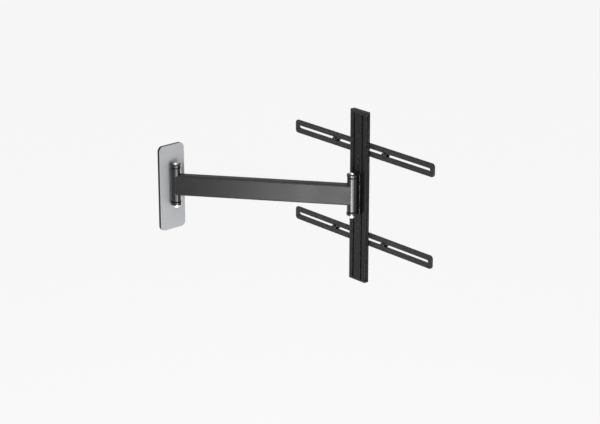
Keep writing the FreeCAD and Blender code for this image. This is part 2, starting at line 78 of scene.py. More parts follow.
MM = 0.001
X, Y, Z = 0, 1, 2
OVERCUT = 1 * MM             # cutters run past the faces they open
MERGE = 0.0005 * MM          # points nearer to each other than this are one
SLIVER = 0.002 * MM          # what cuts leave narrower than this is merged away
SAME_PLACE = 0.001 * MM      # how exactly an edge that is picked lies in its place
ON_AXIS = 0.1 * MM           # points of an outline nearer to the axis than this lie on it
PARALLEL = 0.999             # how nearly an edge that is picked runs along its axis
UPRIGHT = 0.01               # how little a side's normal rises
ROUND_STEPS = 72             # sides of a turned piece
EDGE_SEGMENTS = 3            # facets across a small rounded edge
CORNER_SEGMENTS = 12         # facets across a large rounded corner
SMOOTH_ANGLE = math.radians(50)
SHARP_ANGLE = math.radians(40)       # edges that turn by more than this are softened
CHAIN_ANGLE = math.radians(20)       # a drawn chain turns by less than this along an arc
MIX_A, MIX_B, MIX_RESULT = 6, 7, 2   # a Mix node's colour sockets

# What the record says of joints, mounts, bodies and finishes
RECORD = frame["record"]
JOINTS = {joint["name"]: joint for joint in frame["joints"]}
MOUNTS = {mount["name"]: mount for mount in RECORD["mounts"]}
BODY_OF = {node: body for body, nodes in RECORD["behaviour"]["bodies"].items() for node in nodes}
SLOT_OF = {part["node"]: part["material_slot"] for part in RECORD["subparts"]}

# Places of the two hinges and of the arm between them
WALL_AXIS = Vector(JOINTS["wall_swivel"]["pos_m"])
HEAD_AXIS = Vector(JOINTS["head_swivel"]["pos_m"])
ARM = HEAD_AXIS - WALL_AXIS
SCREEN_WAY = Vector(MOUNTS["tv_slots"]["axis"])
AT_WALL = Matrix.Translation(WALL_AXIS)
AT_HEAD = Matrix.Translation(HEAD_AXIS) @ Matrix.Rotation(
    math.atan2(SCREEN_WAY.y, SCREEN_WAY.x) - math.pi / 2, 4, "Z")
ON_ARM = Matrix.Translation(WALL_AXIS) @ Matrix.Rotation(math.atan2(ARM.y, ARM.x), 4, "Z")
UPSIDE_DOWN = Matrix.Rotation(math.pi, 4, "Y")
ALONG_Y = Matrix.Rotation(-math.pi / 2, 4, "X")     # a turned piece's axis to +Y
AGAINST_Y = Matrix.Rotation(math.pi / 2, 4, "X")    # a turned piece's axis to -Y


def box_in(place, node):
    """Lowest and highest corner of a CAD node, in the coordinates that a place carries to the frame."""
    inverse = place.inverted()
    points = [inverse @ vertex.co for vertex in frame["nodes"][node].data.vertices]
    return Vector(map(min, zip(*points))), Vector(map(max, zip(*points)))


# Sizes of the hinge set, the same at both hinges
KNUCKLE = box_in(AT_WALL, "arm_wall_knuckle")[1]
BRACKET_LOW, BRACKET_HIGH = box_in(AT_WALL, "wall_hinge_bracket")
BUSH_LOW, BUSH_HIGH = box_in(AT_WALL, "wall_bush_upper")
PIN_R = box_in(AT_WALL, "wall_hinge_pin")[1].x
KNUCKLE_R, KNUCKLE_END = KNUCKLE.x, KNUCKLE.z
EAR_R, EAR_TOP = -BRACKET_LOW.y, BRACKET_HIGH.z
STRIP_LEVELS = {level: sum(box_in(AT_HEAD, level + "_strip"), Vector()).z / 2 for level in ("upper", "lower")}


def linear(hex_colour):
    """Linear RGBA of an sRGB hex colour."""
    channels = [int(hex_colour[start:start + 2], 16) / 255 for start in (1, 3, 5)]
    return [c / 12.92 if c <= 0.04045 else ((c + 0.055) / 1.055) ** 2.4 for c in channels] + [1.0]


def length(name, description, millimetres):
    """Property for a size, given in millimetres and kept in metres."""
    return bpy.props.FloatProperty(
        name=name, description=description, default=millimetres * MM, min=0.0, precision=5, unit="LENGTH")


def colour(name, description, hex_colour):
    """Property for a colour, given as sRGB hex and kept linear."""
    return bpy.props.FloatVectorProperty(
        name=name, description=description, default=linear(hex_colour),
        size=4, min=0.0, max=1.0, subtype="COLOR")


class PlateSizes(bpy.types.PropertyGroup):
    corner: length("Corner radius", "Rounding of the plate's four corners", 11.0)
    base_edge: length("Base edge", "Rounding of the base's front and back edges", 0.5)
    cover_edge: length("Cover edge", "Rounding of the cover's front edge", 0.4)
    sink: length("Wall sink", "Depth of the countersink in each wall hole", 3.0)
    clearance: length("Clearance", "Room round the bracket in the pocket and the cover's windows", 0.3)


class HingeSizes(bpy.types.PropertyGroup):
    seat: length("Seat clearance", "Room round a fixed pin, bush or screw", 0.02)
    running: length("Running clearance", "Room round a turning pin", 0.05)
    axial: length("Axial clearance", "Room between a bush's flange and the ear", 0.2)
    knuckle_edge: length("Knuckle edge", "Rounding of the knuckles' ends", 0.6)
    ear_edge: length("Ear edge", "Rounding of the ears' round edges", 0.8)
    neck_width: length("Neck width", "Width of the neck between an ear and its web", 10.0)
    bush_wall: length("Bush wall", "Wall of a bush's sleeve", 2.0)
    flange: length("Flange", "Thickness of a bush's flange", 2.0)
    flange_edge: length("Flange edge", "Rounding of a bush's flange", 0.3)
    stem_radius: length("Stem radius", "Radius of the stem under a cap", 2.5)
    stem_length: length("Stem length", "Length of the stem under a cap", 6.0)
    upper_rim: length("Upper cap rim", "Straight height of an upper cap under its dome", 1.0)
    lower_rim: length("Lower cap rim", "Straight height of a lower cap above its dome", 5.0)
    cap_edge: length("Cap edge", "Rounding of a cap's shoulder", 0.5)
    wall_web: length("Wall web", "Thickness of the wall bracket's web", 3.0)
    head_web: length("Head web", "Thickness of the head bracket's web", 4.0)
    head_web_width: length("Head web width", "Width of the head bracket's web", 21.0)
    web_corner: length("Web corner", "Rounding of a web's corners", 3.0)
    web_edge: length("Web edge", "Softening of a bracket's other edges", 0.4)


class ArmSizes(bpy.types.PropertyGroup):
    corner: length("Corner radius", "Rounding of the tube's long edges", 4.0)
    wall: length("Wall", "Wall thickness of the tube", 2.0)


class RailSizes(bpy.types.PropertyGroup):
    slope_width: length("Slope width", "Width of the sloping border along each side of the front", 4.6)
    slope_drop: length("Slope drop", "Fall of the sloping border towards the side", 0.6)
    back_chamfer: length("Back chamfer", "Chamfer along the back", 0.8)
    groove_offset: length("Groove offset", "Front groove's middle from the rail's middle", 12.3)
    groove_width: length("Groove width", "Width of a front groove", 4.4)
    groove_depth: length("Groove depth", "Depth of a front groove", 5.0)
    side_from_front: length("Side groove place", "Side groove's near edge from the front", 2.0)
    side_width: length("Side groove width", "Width of a side groove", 5.0)
    side_depth: length("Side groove depth", "Depth of a side groove", 2.6)
    front_wall: length("Front wall", "Metal in front of the T-slot", 4.0)
    cavity_width: length("Cavity width", "Width of the T-slot's cavity", 18.0)
    cavity_depth: length("Cavity depth", "Depth of the T-slot's cavity", 5.0)
    mouth_width: length("Mouth width", "Width of the T-slot's mouth", 12.0)
    edge: length("Long edges", "Rounding of the extrusion's long edges", 0.3)
    cap_edge: length("End cap edge", "Rounding of an end cap's outer rim", 0.8)
    slide: length("Sliding clearance", "Room round a slider in the T-slot", 0.3)


class StripSizes(bpy.types.PropertyGroup):
    corner: length("Corner radius", "Rounding of a strip's corners", 7.0)
    edge: length("Edge", "Rounding of a strip's edges and of its slots", 0.5)


class ScrewSizes(bpy.types.PropertyGroup):
    sunk_radius: length("Sunk screw radius", "Shank radius of the countersunk screws", 2.5)
    sunk_recess: length("Sunk recess", "Depth of a countersunk head below its surface", 0.2)
    lock_radius: length("Lock screw radius", "Radius of a lock screw", 3.0)
    lock_near: length("Near lock screw", "Lock screw's distance from its strip's middle", 15.5)
    lock_far: length("Far lock screw", "Lock screw's distance from its strip's middle", 29.5)
    lock_edge: length("Lock screw edge", "Rounding of a lock screw's ends", 0.36)
    lock_socket: length("Lock socket", "Width of a lock screw's socket across flats", 3.0)
    lock_socket_depth: length("Lock socket depth", "Depth of a lock screw's socket", 2.0)
    tv_radius: length("Screen screw radius", "Outer radius of a screen screw's thread", 3.0)
    tv_head_radius: length("Screen screw head", "Radius of a screen screw's head", 5.0)
    tv_head_height: length("Screen head height", "Height of a screen screw's head", 4.5)
    tv_head_edge: length("Screen head edge", "Rounding of a screen screw's head", 0.6)
    tv_socket: length("Screen socket", "Width of a screen screw's socket across flats", 5.0)
    tv_socket_depth: length("Screen socket depth", "Depth of a screen screw's socket", 2.5)
    pitch: length("Thread pitch", "Pitch of the screen screws' thread", 1.0)
    knurl: length("Knurl depth", "Depth of the flutes round a screen screw's head", 0.15)
    spacer_edge: length("Spacer edge", "Rounding of a spacer's ends", 0.6)


class FinishColours(bpy.types.PropertyGroup):
    coat: colour("Powder coat", "Satin black of the base plate, arm and strips", "#252526")
    anodised: colour("Black anodising", "Dyed black of the rail", "#0e0e0f")
    hinge_black: colour("Hinge black", "Polished and dyed black of the hinge tubes and brackets", "#121213")
    silver: colour("Silver anodising", "Satin silver of the cover", "#a6a7a9")
    chrome: colour("Chrome", "Polished chrome of the hinge caps", "#e6e7e9")
    steel: colour("Ground steel", "Bright steel of the hinge pins", "#b2b1ae")
    oxide: colour("Black oxide", "Blue-black of the screws", "#47474b")
    plastic: colour("Black plastic", "Moulded black of end caps, bushes and spacers", "#161616")
    aluminium: colour("Plain aluminium", "Mill finish of the sliders", "#c3c4c5")
    floor: colour("Floor", "Pale floor", "#f4f4f3")


# Modelling


def only(piece):
    """Makes a piece the one selected and active object."""
    bpy.ops.object.select_all(action="DESELECT")
    piece.select_set(True)
    bpy.context.view_layer.objects.active = piece
    return piece


def put(piece, place):
    """Moves a piece by a matrix and applies the move to its mesh."""
    only(piece).matrix_world = place @ piece.matrix_world
    bpy.ops.object.transform_apply(location=True, rotation=True, scale=True)
    return piece


def block(low, high):
    """Rectangular block between two corners."""
    low, high = Vector(low), Vector(high)
    bpy.ops.object.select_all(action="DESELECT")
    bpy.ops.mesh.primitive_cube_add(size=1, location=(low + high) / 2, scale=high - low)
    bpy.ops.object.transform_apply(location=True, rotation=True, scale=True)
    return bpy.context.object


def drawn(points):
    """Chain of edges through points, left in edit mode: a plane merged to one vertex is extruded."""
    bpy.ops.object.select_all(action="DESELECT")
    bpy.ops.mesh.primitive_plane_add(size=MM)
    bpy.ops.object.mode_set(mode="EDIT")
    bpy.ops.mesh.select_mode(type="VERT")
    bpy.ops.mesh.select_all(action="SELECT")
    bpy.ops.mesh.merge(type="CENTER")
    here = Vector()
    for index, point in enumerate(map(Vector, points)):
        if index == 0:
            bpy.ops.transform.translate(value=point - here)
        else:
            bpy.ops.mesh.extrude_vertices_move(TRANSFORM_OT_translate={"value": point - here})
        here = point
    return bpy.context.object


def edit(piece):
    """Opens a piece in edit mode."""
    only(piece)
    bpy.ops.object.mode_set(mode="EDIT")


def pick(piece, kind, test):
    """In edit mode, selects only the vertices, edges or faces that pass a test."""
    bpy.ops.mesh.select_mode(type=kind)
    bpy.ops.mesh.select_all(action="DESELECT")
    mesh = bmesh.from_edit_mesh(piece.data)
    for element in filter(test, {"VERT": mesh.verts, "EDGE": mesh.edges, "FACE": mesh.faces}[kind]):
        element.select_set(True)
    bmesh.update_edit_mesh(piece.data)


def close_mesh():
    """In edit mode, merges what lies together and turns every face outwards."""
    bpy.ops.mesh.select_all(action="SELECT")
    bpy.ops.mesh.remove_doubles(threshold=MERGE)
    bpy.ops.mesh.normals_make_consistent(inside=False)
    bpy.ops.object.mode_set(mode="OBJECT")


def is_corner(vertex):
    """True where a drawn chain turns by more than a facet of an arc does."""
    if len(vertex.link_edges) != 2 or vertex.co.x < ON_AXIS:
        return False
    ways = [edge.other_vert(vertex).co - vertex.co for edge in vertex.link_edges]
    return math.pi - ways[0].angle(ways[1]) > CHAIN_ANGLE


def turned(outline, edge=0.0, steps=ROUND_STEPS):
    """Piece turned about Z from an outline of (radius, height) points, with its corners rounded."""
    piece = drawn([(radius, 0, height) for radius, height in outline])
    if edge:
        pick(piece, "VERT", is_corner)
        bpy.ops.mesh.bevel(affect="VERTICES", offset=edge, segments=EDGE_SEGMENTS)
    bpy.ops.mesh.select_all(action="SELECT")
    bpy.ops.mesh.spin(steps=steps, angle=2 * math.pi, center=(0, 0, 0), axis=(0, 0, 1))
    close_mesh()
    return piece


def bar(radius, low, high, edge=0.0, steps=ROUND_STEPS):
    """Round bar along Z between two heights, with its rims rounded."""
    return turned([(0, low), (radius, low), (radius, high), (0, high)], edge, steps)


def prism(outline, low, high):
    """Upright bar between two heights from an outline of (x, y) points."""
    piece = drawn([(x, y, low) for x, y in outline + outline[:1]])
    bpy.ops.mesh.select_all(action="SELECT")
    bpy.ops.mesh.remove_doubles(threshold=MERGE)
    bpy.ops.mesh.edge_face_add()
    bpy.ops.mesh.extrude_region_move(TRANSFORM_OT_translate={"value": (0, 0, high - low)})
    close_mesh()
    return piece


def along(axis):
    """Picks edges that run along an axis."""
    return lambda edge: abs((edge.verts[1].co - edge.verts[0].co).normalized()[axis]) > PARALLEL


def at(axis, *values):
    """Picks edges that lie where one coordinate has one of some values."""
    return lambda edge: any(
        all(abs(vertex.co[axis] - value) < SAME_PLACE for vertex in edge.verts) for value in values)


def round_edges(piece, radius, segments, test):
    """Rounds the edges that pass a test."""
    edit(piece)
    pick(piece, "EDGE", test)
    bpy.ops.mesh.bevel(affect="EDGES", offset=radius, segments=segments, profile=0.5)
    bpy.ops.object.mode_set(mode="OBJECT")
    return piece


def rounded_plate(low, high, corner):
    """Upright plate between two corners, with its four corners rounded."""
    plate = round_edges(block(low, high), corner, CORNER_SEGMENTS, along(Y))
    edit(plate)
    close_mesh()
    return plate


def apply(piece, kind, **settings):
    """Adds a modifier with its settings and applies it."""
    modifier = only(piece).modifiers.new(kind.lower(), kind)
    for name, value in settings.items():
        setattr(modifier, name, value)
    bpy.ops.object.modifier_apply(modifier=modifier.name)
    return piece


def combine(piece, other, operation):
    """Cuts another piece out of a piece, or joins it on, and removes it."""
    apply(piece, "BOOLEAN", operation=operation, solver="EXACT", object=other)
    bpy.data.objects.remove(other, do_unlink=True)
    return piece


def copy_of(pattern, place):
    """Copy of a piece with its own mesh, moved by a matrix."""
    only(pattern)
    bpy.ops.object.duplicate(linked=False)
    return put(bpy.context.object, place)


def cut(piece, cutter, places=(Matrix(),)):
    """Cuts a cutter out of a piece at each place."""
    for place in places:
        combine(piece, copy_of(cutter, place), "DIFFERENCE")
    bpy.data.objects.remove(cutter, do_unlink=True)
    return piece


def mend(piece):
    """Merges the slivers that cuts leave, and closes the pinholes between."""
    edit(piece)
    bpy.ops.mesh.select_mode(type="VERT")
    bpy.ops.mesh.select_all(action="SELECT")
    bpy.ops.mesh.remove_doubles(threshold=SLIVER)
    bpy.ops.mesh.dissolve_degenerate(threshold=SLIVER)
    bpy.ops.mesh.select_all(action="SELECT")
    bpy.ops.mesh.fill_holes(sides=4)
    close_mesh()
    return piece


def gather(pattern, places):
    """One piece made of a copy of a pattern at each place."""
    made = [copy_of(pattern, place) for place in places]
    bpy.data.objects.remove(pattern, do_unlink=True)
    only(made[0])
    for piece in made:
        piece.select_set(True)
    if len(made) > 1:
        bpy.ops.object.join()
    return made[0]


def soften(piece, radius):
    """Rounds every edge that is still sharp."""
    return apply(piece, "BEVEL", width=radius, segments=EDGE_SEGMENTS, limit_method="ANGLE",
                 angle_limit=SHARP_ANGLE, use_clamp_overlap=False)


def dress(piece, name, node, finish=None):
    """Smooths a piece, sets it on its CAD node's body, and gives it that node's finish or another."""
    only(piece)
    piece.name = piece.data.name = name
    bpy.ops.object.shade_smooth_by_angle(angle=SMOOTH_ANGLE)
    apply(piece, "WEIGHTED_NORMAL", keep_sharp=True)
    piece.data.materials.clear()
    piece.data.materials.append(finish_for(finish or SLOT_OF[node]))
    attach(piece, BODY_OF[node])
    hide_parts(node)


def sizes_from(context, *groups):
    """Groups of sizes that the scene holds."""
    return [getattr(context.scene, "wall_mount_" + group) for group in groups]


def seats(places, depth, way=ALONG_Y):
    """Matrices that set turned pieces at (x, z) places, from a depth along or against Y."""
    return [Matrix.Translation((x, depth, z)) @ way for x, z in places]


def hex_socket(width, depth):
    """Cutter for a six-sided socket that starts at height 0 and ends in the cone of its drill."""
    radius = width / math.sqrt(3)
    return turned([(0, -OVERCUT), (radius, -OVERCUT), (radius, depth), (0, depth + radius / 2)], steps=6)


def centres(box, radius):
    """Places of like round pieces, seen along Y, whose group fills a box."""
    low, high = box
    half = (high - low) / 2 - Vector((radius, radius, radius))
    middle = (low + high) / 2
    across = (middle.x - half.x, middle.x + half.x) if half.x > OVERCUT else (middle.x,)
    upward = (middle.z - half.z, middle.z + half.z) if half.z > OVERCUT else (middle.z,)
    return [(x, z) for x in across for z in upward]


# A countersunk screw's form, in radii of its shank
SUNK_HEAD = 2.0
SUNK_RIM = 0.1
SUNK_EDGE = 0.05
SUNK_SOCKET = 1.2
SUNK_SOCKET_DEPTH = 0.7


def sunk_places(place, node, screws):
    """Places of a node's countersunk screws, in the coordinates that a place carries to the frame."""
    return centres(box_in(place, node), SUNK_HEAD * screws.sunk_radius)


def sunk_screw(screws, reach):
    """Countersunk screw from its head at height 0 to its end, with a hexagonal socket."""
    radius = screws.sunk_radius
    head, rim = SUNK_HEAD * radius, SUNK_RIM * radius
    outline = [(0, 0), (head, 0), (head, rim), (radius, rim + head - radius), (radius, reach), (0, reach)]
    screw = turned(outline, SUNK_EDGE * radius)
    return cut(screw, hex_socket(SUNK_SOCKET * radius, SUNK_SOCKET_DEPTH * radius))


def sunk_hole(screws, hinge, reach):
    """Cutter for that screw, which stands a little below the surface at height 0."""
    radius = screws.sunk_radius
    wide, narrow = SUNK_HEAD * radius + hinge.seat, radius + hinge.seat
    start = screws.sunk_recess + SUNK_RIM * radius
    return turned([(0, -OVERCUT), (wide, -OVERCUT), (wide, start), (narrow, start + wide - narrow),
                   (narrow, reach + OVERCUT), (0, reach + OVERCUT)])


# Finishes


def add_node(tree, kind, inputs=(), **settings):
    """Adds a node with its settings, and sets or links its inputs."""
    node = tree.nodes.new(kind)
    for name, value in settings.items():
        setattr(node, name, value)
    for name, value in dict(inputs).items():
        if isinstance(value, bpy.types.NodeSocket):
            tree.links.new(value, node.inputs[name])
        else:
            node.inputs[name].default_value = value
    return node


def empty_tree(holder):
    """Node tree of a material or a world, with no node in it."""
    holder.use_nodes = True
    holder.node_tree.nodes.clear()
    return holder.node_tree


def per_mm(size):
    """Texture scale whose features are about a size in millimetres."""
    return 1 / (size * MM)


def start_material(name, **constants):
    """New material, its tree, its shader with constants on its own sockets, and Object coordinates."""
    material = bpy.data.materials.new(name)
    tree = empty_tree(material)
    shader = add_node(tree, "ShaderNodeBsdfPrincipled", constants)
    add_node(tree, "ShaderNodeOutputMaterial", {"Surface": shader.outputs["BSDF"]})
    place = add_node(tree, "ShaderNodeTexCoord").outputs["Object"]
    return material, tree, shader, place


def shade_of(tone, factor):
    """Lighter or darker tone of a colour."""
    return [channel * factor for channel in tone[:3]] + [1.0]


def tones_about(tone, swing):
    """Darker and lighter tone of a colour, a swing to either side of it."""
    return shade_of(tone, 1 - swing), shade_of(tone, 1 + swing)


def surface(tree, shader, tones, mottle, gloss, roughness, span=(0.3, 0.7), relief=None):
    """Gives a shader a colour between two tones, a roughness between two values, and relief."""
    mixed = add_node(tree, "ShaderNodeMix", {
        0: mottle, MIX_A: tones[0], MIX_B: tones[1]}, data_type="RGBA")
    tree.links.new(mixed.outputs[MIX_RESULT], shader.inputs["Base Color"])
    sheen = add_node(tree, "ShaderNodeMapRange", {
        "Value": gloss, "From Min": span[0], "From Max": span[1],
        "To Min": roughness[0], "To Max": roughness[1]})
    tree.links.new(sheen.outputs["Result"], shader.inputs["Roughness"])
    if relief:
        bump = add_node(tree, "ShaderNodeBump", relief)
        tree.links.new(bump.outputs["Normal"], shader.inputs["Normal"])


def powder_coat(colours):
    # Polyester powder baked on steel: satin black with a fine orange peel and faintly uneven gloss.
    # Such peel is usually about 0.8 mm from crest to crest, drawn at 2 mm, because finer wouldn't show.
    material, tree, shader, place = start_material(
        "satin_black_powder_coat", IOR=1.5, **{"Specular IOR Level": 0.18})
    peel = add_node(tree, "ShaderNodeTexNoise", {
        "Vector": place, "Scale": per_mm(2.0), "Detail": 2.0, "Roughness": 0.4}).outputs["Fac"]
    cloud = add_node(tree, "ShaderNodeTexNoise", {
        "Vector": place, "Scale": per_mm(26.0), "Detail": 3.0}).outputs["Fac"]
    surface(tree, shader, tones_about(colours.coat, 0.15), cloud, cloud, (0.4, 0.48),
            relief={"Height": peel, "Strength": 0.35, "Distance": 0.03 * MM})
    return material


def drawn_metal(name, tone, gap_mm, run_mm, roughness, contrast, groove_mm, **constants):
    """Metal whose fine lines run along Z: gap across the lines, run along them, in millimetres."""
    material, tree, shader, place = start_material(name, **constants)
    stretch = add_node(tree, "ShaderNodeMapping", {
        "Vector": place, "Scale": (per_mm(gap_mm), per_mm(gap_mm), per_mm(run_mm))})
    lines = add_node(tree, "ShaderNodeTexNoise", {
        "Vector": stretch.outputs["Vector"], "Scale": 1.0, "Detail": 4.0, "Roughness": 0.6}).outputs["Fac"]
    surface(tree, shader, tones_about(tone, contrast), lines, lines, (0.85 * roughness, 1.15 * roughness),
            relief={"Height": lines, "Strength": 0.5, "Distance": groove_mm * MM})
    return material


def black_anodising(colours):
    # Extruded aluminium, dyed black under a hard clear oxide: darker than paint, with the die's fine lines
    # along its length. Such lines are usually about 0.2 mm apart, drawn at 1.2 mm.
    return drawn_metal("black_anodised_aluminium", colours.anodised, gap_mm=1.2, run_mm=180.0, roughness=0.3,
                       contrast=0.2, groove_mm=0.01, IOR=1.6, **{"Specular IOR Level": 0.18})


def bright_black_anodising(colours):
    # Drawn tube, polished before it is dyed: as black as the rail, but glossier and with fainter lines.
    return drawn_metal("bright_black_anodised_tube", colours.hinge_black, gap_mm=1.2, run_mm=180.0,
                       roughness=0.25, contrast=0.12, groove_mm=0.006,
                       IOR=1.6, **{"Specular IOR Level": 0.3})


def silver_anodising(colours):
    # Aluminium sheet, brushed upwards and clear anodised: a soft grey sheen with faint upright lines. Half
    # metallic is no property of the metal: it was chosen by trial, so that the hinge shows in the sheet
    # only as a soft shade. Such lines are usually about 0.1 mm apart, drawn at 0.9 mm.
    return drawn_metal("satin_anodised_aluminium_sheet", colours.silver, gap_mm=0.9, run_mm=70.0,
                       roughness=0.55, contrast=0.05, groove_mm=0.004, Metallic=0.5)


def plain_aluminium(colours):
    # Aluminium as it left the die: paler and duller than the cover, with coarser lines.
    return drawn_metal("plain_extruded_aluminium", colours.aluminium, gap_mm=1.0, run_mm=60.0,
                       roughness=0.42, contrast=0.1, groove_mm=0.01, Metallic=1.0)


def ground_steel(colours):
    # Steel bar, ground between centres: bright, with fine rings round the pin, drawn at 0.7 mm.
    return drawn_metal("ground_bright_steel", colours.steel, gap_mm=40.0, run_mm=0.7,
                       roughness=0.28, contrast=0.06, groove_mm=0.004, Metallic=1.0)


def polished_chrome(colours):
    # Chrome on polished steel: a mirror, dulled only by a faint haze in patches of about 3 mm.
    material, tree, shader, place = start_material("polished_chrome_plate", Metallic=1.0)
    haze = add_node(tree, "ShaderNodeTexNoise", {
        "Vector": place, "Scale": per_mm(3.0), "Detail": 2.0}).outputs["Fac"]
    tones = shade_of(colours.chrome, 0.96), colours.chrome[:]
    surface(tree, shader, tones, haze, haze, (0.04, 0.12), span=(0.0, 1.0))
    return material


def grained(name, tone, grain_mm, roughness, depth_mm, **constants):
    """Even grain with wider patches of tone: grain size and depth in millimetres."""
    material, tree, shader, place = start_material(name, **constants)
    grain = add_node(tree, "ShaderNodeTexNoise", {
        "Vector": place, "Scale": per_mm(grain_mm), "Detail": 3.0}).outputs["Fac"]
    patches = add_node(tree, "ShaderNodeTexNoise", {
        "Vector": place, "Scale": per_mm(14 * grain_mm), "Detail": 2.0}).outputs["Fac"]
    surface(tree, shader, tones_about(tone, 0.2), patches, grain, (0.88 * roughness, 1.12 * roughness),
            relief={"Height": grain, "Strength": 0.5, "Distance": depth_mm * MM})
    return material


def black_plastic(colours):
    # Nylon moulded in a spark-eroded tool: dull black with an even fine grain, drawn at 0.9 mm.
    return grained("moulded_black_nylon", colours.plastic, grain_mm=0.9, roughness=0.5, depth_mm=0.03,
                   IOR=1.53, **{"Specular IOR Level": 0.25})


def black_oxide(colours):
    # Steel screws, blackened in hot salts and oiled: blue-black with a soft sheen, grain drawn at 0.8 mm.
    return grained("black_oxide_steel", colours.oxide, grain_mm=0.8, roughness=0.36, depth_mm=0.01,
                   Metallic=0.9)


FINISHES = {
    "black_powder_coat": powder_coat,
    "satin_silver": silver_anodising,
    "black_anodised": black_anodising,
    "bright_black_anodised": bright_black_anodising,
    "polished_chrome": polished_chrome,
    "bright_steel": ground_steel,
    "black_oxide_screw": black_oxide,
    "black_plastic": black_plastic,
    "plain_aluminium": plain_aluminium,
}
made_finishes = {}


def finish_for(slot):
    """Material of one of the finishes, made once."""
    if slot not in made_finishes:
        made_finishes[slot] = FINISHES[slot](bpy.context.scene.wall_mount_colours)
    return made_finishes[slot]


# Pieces


class WALLMOUNT_OT_base_plate(bpy.types.Operator):
    """Model the base plate with its wall holes and the pocket for the hinge bracket"""
    bl_idname = "wall_mount.base_plate"
    bl_label = "Base plate"

    def execute(self, context):
        sizes, hinge, screws = sizes_from(context, "plate", "hinge", "screws")
        low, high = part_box("wall_base_plate")
        depth = high.y - low.y
        base = rounded_plate(low, high, sizes.corner)
        round_edges(base, sizes.base_edge, EDGE_SEGMENTS, at(Y, low.y, high.y))

        web_low, web_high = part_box("wall_hinge_bracket")
        room = Vector((sizes.clearance, 0, sizes.clearance))
        start = Vector((web_low.x, low.y - OVERCUT, web_low.z)) - room
        cut(base, rounded_plate(start, web_high + room, hinge.web_corner + sizes.clearance))

        bolts = MOUNTS["wall_bolts"]["dims"]
        radius = bolts["hole_r_mm"] * MM
        wide = radius + sizes.sink + OVERCUT
        hole = turned([(0, -OVERCUT), (wide, -OVERCUT), (radius, sizes.sink), (radius, depth + OVERCUT),
                       (0, depth + OVERCUT)])
        half = Vector((bolts["spacing_x_mm"], 0, bolts["spacing_y_mm"])) * MM / 2
        corners = [(x, z) for x in (-half.x, half.x) for z in (-half.z, half.z)]
        cut(base, hole, seats(corners, low.y))
        places = centres(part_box("wall_bracket_screws"), SUNK_HEAD * screws.sunk_radius)
        cut(base, sunk_hole(screws, hinge, depth), seats(places, high.y, AGAINST_Y))
        dress(base, "base_plate", "wall_base_plate")
        return {"FINISHED"}


class WALLMOUNT_OT_cover(bpy.types.Operator):
    """Model the cover sheet with a window for each ear of the hinge"""
    bl_idname = "wall_mount.cover"
    bl_label = "Cover sheet"

    def execute(self, context):
        sizes, hinge = sizes_from(context, "plate", "hinge")
        low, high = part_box("wall_cover")
        cover = rounded_plate(low, high, sizes.corner)
        round_edges(cover, sizes.cover_edge, EDGE_SEGMENTS, at(Y, low.y))
        half = hinge.neck_width / 2 + sizes.clearance
        inner = BUSH_HIGH.z + hinge.axial - sizes.clearance
        outer = EAR_TOP + sizes.clearance
        for bottom, top in ((inner, outer), (-outer, -inner)):
            cut(cover, block((-half, low.y - OVERCUT, WALL_AXIS.z + bottom),
                             (half, high.y + OVERCUT, WALL_AXIS.z + top)))
        dress(cover, "cover_sheet", "wall_cover")
        return {"FINISHED"}


def hinge_bracket(hinge, width, front, back, front_edge=0.0):
    """Web with two ears in hinge coordinates, its web between two depths, its front edge rounded or sharp."""
    bottom = BUSH_HIGH.z + hinge.axial
    half = hinge.neck_width / 2
    bracket = rounded_plate((-width / 2, front, -EAR_TOP), (width / 2, back, EAR_TOP), hinge.web_corner)
    if front_edge:
        round_edges(bracket, front_edge, EDGE_SEGMENTS, at(Y, front))
    for turn in (Matrix(), UPSIDE_DOWN):
        collar = bar(EAR_R, bottom, EAR_TOP, hinge.ear_edge)
        neck = block((-half, 0, bottom), (half, (front + back) / 2, EAR_TOP))
        round_edges(neck, hinge.web_edge, EDGE_SEGMENTS, along(Y))
        combine(bracket, put(combine(collar, neck, "UNION"), turn), "UNION")
    reach = EAR_TOP + OVERCUT
    return cut(bracket, bar(PIN_R + hinge.seat, -reach, reach))


class WALLMOUNT_OT_hinge_brackets(bpy.types.Operator):
    """Model the two brackets that hold the hinge pins"""
    bl_idname = "wall_mount.hinge_brackets"
    bl_label = "Hinge brackets"

    def execute(self, context):
        hinge, screws = sizes_from(context, "hinge", "screws")
        back = BRACKET_HIGH.y
        front = back - hinge.wall_web
        bracket = hinge_bracket(hinge, 2 * BRACKET_HIGH.x, front, back)
        hole = bar(screws.sunk_radius + hinge.seat, -OVERCUT, hinge.wall_web + OVERCUT)
        cut(bracket, hole, seats(sunk_places(AT_WALL, "wall_bracket_screws", screws), front))
        dress(put(mend(bracket), AT_WALL), "wall_bracket", "wall_hinge_bracket", "bright_black_anodised")

        back = box_in(AT_HEAD, "head_hinge_bracket")[1].y
        front = back - hinge.head_web
        bracket = hinge_bracket(hinge, hinge.head_web_width, front, back, front_edge=hinge.web_edge)
        hole = sunk_hole(screws, hinge, hinge.head_web)
        cut(bracket, hole, seats(sunk_places(AT_HEAD, "head_bracket_screws", screws), front))
        dress(put(mend(bracket), AT_HEAD), "head_bracket", "head_hinge_bracket", "bright_black_anodised")
        return {"FINISHED"}


class WALLMOUNT_OT_hinge_knuckles(bpy.types.Operator):
    """Model the two round tubes at the arm's ends"""
    bl_idname = "wall_mount.hinge_knuckles"
    bl_label = "Hinge knuckles"

    def execute(self, context):
        hinge = context.scene.wall_mount_hinge
        bore = PIN_R + hinge.running + hinge.bush_wall + hinge.seat
        end = KNUCKLE_END
        outline = [(bore, -end), (KNUCKLE_R, -end), (KNUCKLE_R, end), (bore, end), (bore, -end)]
        for name, place, node in (("wall_knuckle", AT_WALL, "arm_wall_knuckle"),
                                  ("head_knuckle", AT_HEAD, "arm_head_knuckle")):
            dress(put(turned(outline, edge=hinge.knuckle_edge), place), name, node, "bright_black_anodised")
        return {"FINISHED"}


